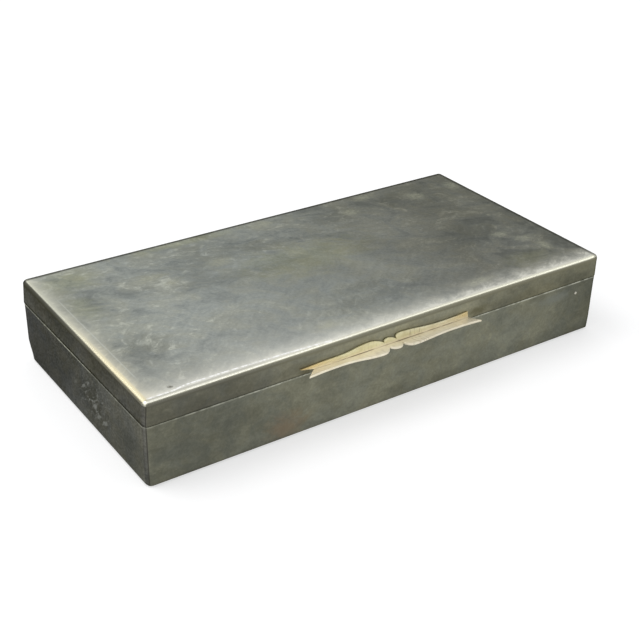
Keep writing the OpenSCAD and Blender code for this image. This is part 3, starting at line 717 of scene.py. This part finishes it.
# %% [markdown]
# ## The silver trays
# Lid and base are each one tray of sheet. A cube loses its open face, its
# upright corners are bevelled, then the rim of the closed face is bevelled as
# the roll. Straight cuts across it give it the points it needs to be bent
# softly, and Solidify gives the sheet its thickness, inwards.

# %% Helpers that shape sheet
LINE_STEP = 3.3


def new_object(name, bm, scale=1.0):
    """Turns a bmesh into an object at the origin, with its mesh scaled."""
    bmesh.ops.scale(bm, vec=(scale, scale, scale), verts=bm.verts)
    mesh = bpy.data.meshes.new(name)
    bm.to_mesh(mesh)
    bm.free()
    made = bpy.data.objects.new(name, mesh)
    scene.collection.objects.link(made)
    return made


def make_piece(name, bm, material, node):
    """Turns a bmesh in millimetres into the finished piece that stands for a node."""
    piece = new_object(name, bm, MM)
    piece.data.materials.append(material)
    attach(piece, BODY_OF[node])
    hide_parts(node)
    return piece


def modify(piece, kind, **settings):
    """Puts what one modifier does into the mesh itself."""
    modifier = piece.modifiers.new(kind, kind)
    for name, value in settings.items():
        setattr(modifier, name, value)
    bpy.context.view_layer.update()
    seen = piece.evaluated_get(bpy.context.evaluated_depsgraph_get())
    done = bpy.data.meshes.new_from_object(seen)
    piece.modifiers.clear()
    piece.data = done


def soften(piece, angle=35):
    """Smooth shading that stays crisp where faces meet at a real edge."""
    bm = bmesh.new()
    bm.from_mesh(piece.data)
    for face in bm.faces:
        face.smooth = True
    for edge in bm.edges:
        edge.smooth = edge.calc_face_angle(0) < math.radians(angle)
    bm.to_mesh(piece.data)
    bm.free()


def cut_lines(bm, axis, places):
    """Cuts straight lines across the mesh, square to one axis."""
    normal = Vector((0, 0, 0))
    normal[axis] = 1
    for place in places:
        whole = bm.verts[:] + bm.edges[:] + bm.faces[:]
        bmesh.ops.bisect_plane(bm, geom=whole, dist=1e-4, plane_co=normal * place, plane_no=normal)


def cut_across(bm, length, width, near):
    """Cuts lines both ways: at some distances from the edges, and evenly inside."""
    for axis, half in enumerate((length / 2, width / 2)):
        inner = half - near[-1]
        count = round(2 * inner / LINE_STEP)
        inside = [-inner + 2 * inner * i / count for i in range(1, count)]
        cut_lines(bm, axis, [side * (half - d) for side in (-1, 1) for d in near] + inside)


def round_edges(bm, edges, size, segments):
    bmesh.ops.bevel(bm, geom=edges, offset=size, offset_type="OFFSET", segments=segments,
                    profile=0.5, affect="EDGES", material=-1)


def block(length, width, height):
    """A block that stands on z = 0."""
    bm = bmesh.new()
    bmesh.ops.create_cube(bm, size=1)
    bmesh.ops.scale(bm, vec=(length, width, height), verts=bm.verts)
    bmesh.ops.translate(bm, vec=(0, 0, height / 2), verts=bm.verts)
    return bm


def open_tray(length, width, height, roll):
    """A tray of sheet with no thickness yet. Its closed face lies at z = 0."""
    bm = block(length, width, height)
    bmesh.ops.delete(bm, geom=[f for f in bm.faces if f.normal.z > 0.9], context="FACES_ONLY")
    uprights = [e for e in bm.edges if abs(e.verts[0].co.z - e.verts[1].co.z) > height / 2]
    round_edges(bm, uprights, CORNER_R, 7)
    rim = [e for e in bm.edges if len(e.link_faces) == 2 and all(v.co.z < 1e-5 for v in e.verts)]
    round_edges(bm, rim, roll, 7)
    return bm


def bevel_outer_edge(piece, z, size, length, width):
    """A small bevel along the sheet's outer edge at the seam."""
    bm = bmesh.new()
    bm.from_mesh(piece.data)

    def outside(v):
        x, y = abs(v.co.x) / MM, abs(v.co.y) / MM
        dx, dy = x - (length / 2 - CORNER_R), y - (width / 2 - CORNER_R)
        reach = math.hypot(max(dx, 0), max(dy, 0)) if max(dx, dy) > 0 else 0
        return abs(v.co.z / MM - z) < 0.01 and reach > CORNER_R - 0.5

    edges = [e for e in bm.edges if outside(e.verts[0]) and outside(e.verts[1])
             and abs(sum(f.normal.z for f in e.link_faces)) > 0.5
             and any(abs(f.normal.z) < 0.3 for f in e.link_faces)]
    round_edges(bm, edges, size * MM, 2)
    bm.to_mesh(piece.data)
    bm.free()
    return len(edges)


def rounder_corner(point, length, width, radius, amount):
    """Moves a point towards a corner of larger radius: all the way for an amount of 1."""
    x, y = abs(point.x) - (length / 2 - radius), abs(point.y) - (width / 2 - radius)
    reach = math.hypot(x, y)
    if x > 0 and y > 0 and reach > radius - SHEET_T:
        pull = amount * (1 - min(1, radius / reach))
        point.x -= math.copysign(x * pull, point.x)
        point.y -= math.copysign(y * pull, point.y)


print("sheet helpers ready")

# %% [markdown]
# ## The hinge's room
# The knuckles turn in a round cove along the back edge, and both back edges
# are bevelled so that the open lid stops on them. One rod and one wedge, cut
# from each tray with a Boolean, make the same room as in the solids. The
# wedge is a cone with three sides and no taper.

# %% Cutters for the hinge
COVE_R, COVE_L, BEVEL_DEG, WEDGE_REACH = 1.7, 150.15, 48.0, 1.6


def cutter(name, sides, radius, length, grow, y):
    """A rod along X that a Boolean cuts with. It is removed after its cut."""
    bm = bmesh.new()
    bmesh.ops.create_cone(bm, cap_ends=True, segments=sides, radius1=radius, radius2=radius, depth=length)
    bmesh.ops.rotate(bm, cent=(0, 0, 0), matrix=Matrix.Rotation(math.radians(90), 3, "Y"), verts=bm.verts)
    bmesh.ops.scale(bm, vec=grow, verts=bm.verts)
    bmesh.ops.translate(bm, vec=(0, y, AXIS_Z), verts=bm.verts)
    bmesh.ops.recalc_face_normals(bm, faces=bm.faces)
    return new_object(name, bm, MM)


def make_hinge_room(piece):
    rise = WEDGE_REACH * math.tan(math.radians(BEVEL_DEG)) / math.sin(math.radians(60))
    rod = cutter("cove_rod", 48, COVE_R, COVE_L, (1, 1, 1), AXIS_Y)
    wedge = cutter("stop_wedge", 3, 1, LID_L + 2, (1, -WEDGE_REACH / 1.5, rise), AXIS_Y + WEDGE_REACH * 2 / 3)
    for tool in (rod, wedge):
        modify(piece, "BOOLEAN", operation="DIFFERENCE", solver="EXACT", object=tool)
        bpy.data.objects.remove(tool)


def finish_tray(name, node, bm, z, bevel, length, width):
    """Gives the tray its thickness, its bevel at the seam and its room for the hinge."""
    piece = make_piece(name, bm, toned, node)
    modify(piece, "SOLIDIFY", thickness=SHEET_T * MM, offset=-1, use_even_offset=True)
    print("edges bevelled at the seam:", bevel_outer_edge(piece, z, bevel, length, width))
    make_hinge_room(piece)
    soften(piece)
    print(name, "has", len(piece.data.polygons), "faces")


print("cove radius", COVE_R, "mm, bevels at", BEVEL_DEG, "degrees")

# %% [markdown]
# ## The lid's silver
# The top is a little crowned, its sides lean in by under half a millimetre,
# and the sheet has slow waves where it was rubbed over the wood. These moves
# are small, but they are what makes the reflections wander as on real sheet.
# The back right corner is worn a little rounder than the others.

# %% Make the lid's silver
WAVE, CROWN, LEAN_LEFT, LEAN_RIGHT, LID_WORN_R, LID_EDGE_BEVEL = 0.07, 0.3, 0.45, 0.1, 4.0, 0.12


def share(value, start, end):
    """0 up to the start, 1 from the end on, and even in between."""
    return max(0, min(1, (value - start) / (end - start)))


def slow_wave(point, size):
    """Noise from 0 to 1 that changes slowly over the given size."""
    return 0.5 + 0.5 * max(-1, min(1, noise.noise(point / size)))


def lid_silver():
    bm = open_tray(LID_L, LID_W, LID_H, TOP_ROLL)
    bmesh.ops.scale(bm, vec=(1, 1, -1), verts=bm.verts)
    bmesh.ops.translate(bm, vec=(0, 0, TOP_Z), verts=bm.verts)
    bmesh.ops.reverse_faces(bm, faces=bm.faces)
    cut_across(bm, LID_L, LID_W, (2.4, 3.4, 4.8, 6.6, 9.0))
    cut_lines(bm, 2, (22.0, 23.4, 25.0, 26.5, 27.5))
    for v in bm.verts:
        x, y, z = v.co
        high, flat = share(z, LID_Z, TOP_Z - TOP_ROLL), share(z, 27.5, 29)
        back, right = share(y, 40, 43), share(x, 85, 87.5)
        edge = ((abs(x) / (LID_L / 2)) ** 12 + (abs(y) / (LID_W / 2)) ** 12) ** (1 / 3)
        fall = CROWN * min(edge, 1.1) * (1 - 0.6 * max(back, right))
        v.co.z -= flat * (fall + WAVE * slow_wave(v.co, 26))
        v.co.y += 0.2 * flat * back
        lean = (LEAN_LEFT if x < 0 else LEAN_RIGHT) * high
        v.co.x = min(LID_L / 2, v.co.x * (1 - lean / (LID_L / 2)) + 0.1 * flat * right)
        side = share(abs(y), 42, 44) * (1 - flat)
        v.co.y -= math.copysign(side * WAVE * slow_wave(v.co, 15), y)
        if x > 0 and y > 0:
            rounder_corner(v.co, LID_L, LID_W, LID_WORN_R, high)
    finish_tray("lid_silver", "lid_casing", bm, LID_Z, LID_EDGE_BEVEL, LID_L, LID_W)


lid_silver()

# %% [markdown]
# ## The base's silver
# The same tray the other way up. Its turned edge runs only a little way under
# the box, so the middle of the closed face is taken out. The upper edge has a
# small bevel, which catches the light just under the seam. The lower corners
# are worn round, the back left one most of all, and the front's foot stands
# forward a little.

# %% Make the base's silver
BACK_LEFT_R, FRONT_LEFT_R, RIGHT_R = 5.8, 3.2, 2.4
RIGHT_BULGE, FOOT_FORWARD = 0.15, 0.2


def base_silver():
    bm = open_tray(BASE_L, BASE_W, BASE_H, FOOT_ROLL)
    bmesh.ops.translate(bm, vec=(0, 0, BASE_Z), verts=bm.verts)
    cut_across(bm, BASE_L, BASE_W, (2.4, 3.6, 5.4, TURNED_EDGE))
    cut_lines(bm, 2, (2.2, 4.5, 7.5, 10.5, 13.5, 16.5, 19, 20.5))
    inside = [f for f in bm.faces if abs(f.normal.z) > 0.9
              and abs(f.calc_center_median().x) < BASE_L / 2 - TURNED_EDGE
              and abs(f.calc_center_median().y) < BASE_W / 2 - TURNED_EDGE]
    bmesh.ops.delete(bm, geom=inside, context="FACES")
    wall_foot = BASE_Z + FOOT_ROLL
    for v in bm.verts:
        x, y, z = v.co
        mid = share(z, wall_foot, wall_foot + 3) * share(z, SEAM_Z, SEAM_Z - 2)
        side, end, low = share(abs(y), 42, 44), share(abs(x), 86.5, 88.5), share(z, 6, 1)
        v.co.y -= math.copysign(side * mid * 2 * WAVE * slow_wave(v.co, 17), y)
        v.co.x -= math.copysign(end * mid * 2 * WAVE * slow_wave(v.co, 14), x)
        if x > BASE_L / 2 - 5:
            v.co.x += RIGHT_BULGE
        if y < -40:
            v.co.y -= FOOT_FORWARD * low
            v.co.z -= max(0, low - 0.8) * side
        radius = RIGHT_R if x > 0 else (BACK_LEFT_R if y > 0 else FRONT_LEFT_R)
        rounder_corner(v.co, BASE_L, BASE_W, radius, low)
    finish_tray("base_silver", "base_casing", bm, SEAM_Z, LIP, BASE_L, BASE_W)


base_silver()

# %% [markdown]
# ## The thumbpiece
# A thin leaf that the thumb lifts, cut to a wavy outline, and a low flange of
# the same outline that it is soldered on by. A flat curve is the natural tool
# for a sawn outline: its handles are the curve's own, its bevel rounds the
# filed edges, and it becomes a mesh before it is put in its place.

# %% Make the thumbpiece
THUMB_X, LEAF_Z, LEAF_T, FLANGE_T = -1.5, 21.6, 0.7, 0.5
LEAF_BEVEL, FLANGE_BEVEL = 0.16, 0.1
# Each half outline: reach, tip, root, waist, notch and swell, left and then right
LEAF_HALVES = (34, 3.3, 30.3, 2.7, 2.9, 6.8), (33.1, 4.1, 30.3, 3.5, 2.4, 5.8)
FLANGE_HALVES = (35.1, 1.9, 31.2, 2.6, 2.9, 6.8), (33.4, 3.3, 31.2, 2.7, 2.0, 5.6)
FLANGE_HIGH, FLANGE_LONG, FLANGE_LEAN = 0.66, 0.97, 1.05


def half_leaf(reach, tip, root, waist, notch, swell):
    """Points with their two handles, from the lobe to the root."""
    return [
        ((0, 3.6), (-1.74, 3.6), (0.6 * notch, 3.6)),
        ((notch, 1.2), (notch, 2.4), (notch + 0.1, 2.7)),
        ((swell, 4.5), (swell - 2.3, 4.5), (swell + 5.1, 4.5)),
        ((21.5, waist), (14.885, waist), (27.75, waist)),
        ((reach, tip), (30.25, (tip + waist) / 2), (reach - 1.2, tip * 0.68)),
        ((root, 0), (root + 1.2, tip * 0.32), (root, -0.1)),
        ((root, -0.3), (root, -0.2), (20, -0.3)),
    ]


def leaf_points(high, long, lean, left, right):
    """The whole outline, from the left root over the lobe to the right root."""
    left = [((-p[0], p[1]), (-b[0], b[1]), (-a[0], a[1])) for p, a, b in reversed(half_leaf(*left)[1:])]
    return [[(long * x - lean * high * max(y, 0), high * y if y > 0 else y) for x, y in row]
            for row in left + half_leaf(*right)]


def cut_from_sheet(high, long, lean, thick, bevel, left, right):
    """The outline as a plate with rounded edges, lying flat, with its middle at z = 0."""
    curve = bpy.data.curves.new("outline", "CURVE")
    curve.dimensions = "2D"
    curve.fill_mode = "BOTH"
    curve.resolution_u = 14
    curve.extrude = thick / 2 - bevel
    curve.bevel_depth = bevel
    curve.bevel_resolution = 3
    curve.offset = -bevel
    shape = leaf_points(high, long, lean, left, right)
    spline = curve.splines.new("BEZIER")
    spline.use_cyclic_u = True
    spline.bezier_points.add(len(shape) - 1)
    for point, (place, before, after) in zip(spline.bezier_points, shape):
        point.handle_left_type = point.handle_right_type = "FREE"
        point.co, point.handle_left, point.handle_right = (*place, 0), (*before, 0), (*after, 0)
    holder = bpy.data.objects.new("outline", curve)
    scene.collection.objects.link(holder)
    bpy.context.view_layer.update()
    mesh = bpy.data.meshes.new_from_object(holder.evaluated_get(bpy.context.evaluated_depsgraph_get()))
    bm = bmesh.new()
    bm.from_mesh(mesh)
    bpy.data.objects.remove(holder)
    bmesh.ops.remove_doubles(bm, verts=bm.verts, dist=1e-4)
    return bm


def thumbpiece():
    leaf = cut_from_sheet(1, 1, 0, LEAF_T, LEAF_BEVEL, *LEAF_HALVES)
    bmesh.ops.scale(leaf, vec=(1, -1, 1), verts=leaf.verts)
    bmesh.ops.translate(leaf, vec=(THUMB_X, -LID_W / 2, LEAF_Z + LEAF_T / 2), verts=leaf.verts)
    flange = cut_from_sheet(FLANGE_HIGH, FLANGE_LONG, FLANGE_LEAN, FLANGE_T, FLANGE_BEVEL, *FLANGE_HALVES)
    stand = Matrix.Rotation(math.radians(90), 3, "X")
    bmesh.ops.rotate(flange, cent=(0, 0, 0), matrix=stand, verts=flange.verts)
    place = (THUMB_X, -LID_W / 2 - FLANGE_T / 2, LEAF_Z + LEAF_T)
    bmesh.ops.translate(flange, vec=place, verts=flange.verts)
    extra = bpy.data.meshes.new("flange")
    flange.to_mesh(extra)
    flange.free()
    leaf.from_mesh(extra)
    bmesh.ops.recalc_face_normals(leaf, faces=leaf.faces)
    piece = make_piece("thumb_leaf", leaf, thumb, "thumbpiece")
    soften(piece, 40)
    return piece


leaf_piece = thumbpiece()
print("thumbpiece:", len(leaf_piece.data.polygons), "faces")

# %% [markdown]
# ## Woodwork and fittings
# The boards, rims, hinge leaves and pins have the right shape in the solids
# already. What they lack is the softened edge that every planed or filed piece
# has. Each is copied, its loose triangles are merged, its flat faces joined
# and its edges bevelled a little. The floor board is rounded where the sheet's
# corner is worn, and two cuts keep that change near the corner.

# %% Dress the plain pieces
def round_for_worn_sheet(bm):
    """Fits the floor board into the base's worn back left corner."""
    cut_lines(bm, 0, (-80,))
    cut_lines(bm, 1, (36,))
    for v in bm.verts:
        if v.co.x < 0 < v.co.y:
            rounder_corner(v.co, BASE_L - 2 * SHEET_T, BASE_W - 2 * SHEET_T, BACK_LEFT_R - SHEET_T, 1)


def dressed(node, material, bevel):
    """A copy of a node's solid with small bevels and a real finish."""
    bm = bmesh.new()
    bm.from_mesh(frame["nodes"][node].data)
    bmesh.ops.scale(bm, vec=(1 / MM, 1 / MM, 1 / MM), verts=bm.verts)
    bmesh.ops.remove_doubles(bm, verts=bm.verts, dist=0.002)
    bmesh.ops.dissolve_limit(bm, angle_limit=math.radians(0.5), verts=bm.verts, edges=bm.edges,
                             use_dissolve_boundaries=False)
    if node == "floor_board":
        round_for_worn_sheet(bm)
    piece = make_piece(node + "_dressed", bm, material, node)
    modify(piece, "BEVEL", width=bevel * MM, segments=2, limit_method="ANGLE", angle_limit=math.radians(40))
    soften(piece)


for node in ("front_board", "back_board", "floor_board", "lid_panel", "lid_front_strip", "lid_back_strip"):
    dressed(node, cedar_x, 0.25)
for node in ("left_board", "right_board", "divider", "lid_left_strip", "lid_right_strip"):
    dressed(node, cedar_y, 0.25)
for node in ("base_rim", "lid_rim", "base_hinge_leaf", "lid_hinge_leaf"):
    dressed(node, rim_silver, 0.12)
for node, bevel in (("hinge_pin", 0.1), ("flange_pins", 0.05), ("front_pin", 0.03)):
    dressed(node, pin_metal, bevel)

# %% [markdown]
# ## Baize
# The cloth under the box is glued flat to the floor board, inside the turned
# edge. It is one thick sheet of felted wool, with soft cut edges and a face
# that isn't quite even.

# %% Make the baize
BAIZE_L, BAIZE_W, BAIZE_T = 161.1, 71.5, 1.1


def baize_pad():
    bm = block(BAIZE_L, BAIZE_W, BAIZE_T)
    round_edges(bm, bm.edges[:], 0.3, 3)
    cut_across(bm, BAIZE_L, BAIZE_W, (1.5,))
    for v in bm.verts:
        if v.co.z < BAIZE_T / 2:
            v.co.z += 0.12 * max(0, slow_wave(v.co, 9) - 0.5)
        out = 0.2 * slow_wave(v.co + Vector((50, 20, 0)), 6)
        if abs(v.co.x) > BAIZE_L / 2 - 1:
            v.co.x -= math.copysign(out, v.co.x)
        if abs(v.co.y) > BAIZE_W / 2 - 1:
            v.co.y -= math.copysign(out, v.co.y)
    piece = make_piece("baize_pad", bm, baize_green, "baize")
    soften(piece, 60)
    return piece


pad = baize_pad()
print("baize:", len(pad.data.polygons), "faces")

# %% [markdown]
# ## Floor
# A pale, plain floor. Seen by the camera, and in reflections, it is almost
# white by its own colour. It keeps the soft shadow of the box, because only a
# part of that brightness is its own.

# %% Make the floor
FLOOR_REACH, FLOOR_GREY, FLOOR_GLOW = 8.0, 0.50, 0.555


def glowing(name, grey, roughness, seen_glow, other_glow):
    """A matt finish with two glows: one for camera and reflections, one for other light."""
    f = Finish(name, metallic=0.0, roughness=roughness)
    paths = f.node("LightPath").outputs
    seen = f.strongest(paths["Is Camera Ray"], paths["Is Glossy Ray"], paths["Is Transmission Ray"])
    glow = f.step(seen, 0, 1, other_glow, seen_glow)
    f.fill(f.shader, {"Base Color": (grey, grey, grey), "Specular IOR Level": 0.0,
                      "Emission Color": (1, 1, 1), "Emission Strength": glow})
    return f.material


bm = bmesh.new()
bmesh.ops.create_grid(bm, x_segments=1, y_segments=1, size=FLOOR_REACH)
bmesh.ops.translate(bm, vec=(0, 0, -0.05 * MM), verts=bm.verts)
floor = new_object("floor", bm)
floor.data.materials.append(glowing("floor", FLOOR_GREY, 0.9, FLOOR_GLOW, 0.0))
print("floor:", 2 * FLOOR_REACH, "m square")

# %% [markdown]
# ## Backdrop
# Far behind the floor stands a low, pale backdrop all round, for the views
# that look almost level. It shows the floor's own paleness to the camera and
# to the metal, and is as bright as the room for all other light.

# %% Make the backdrop
BACKDROP_GLOW, BACKDROP_RISE = 0.955, 2.2

bm = bmesh.new()
bmesh.ops.create_cone(bm, cap_ends=False, segments=64, radius1=FLOOR_REACH, radius2=FLOOR_REACH,
                      depth=BACKDROP_RISE)
bmesh.ops.translate(bm, vec=(0, 0, BACKDROP_RISE / 2), verts=bm.verts)
bmesh.ops.reverse_faces(bm, faces=bm.faces)
backdrop = new_object("backdrop", bm)
backdrop.data.materials.append(glowing("backdrop", 0.0, 1.0, BACKDROP_GLOW, ROOM_GLOW))
print("backdrop:", len(backdrop.data.polygons), "faces")
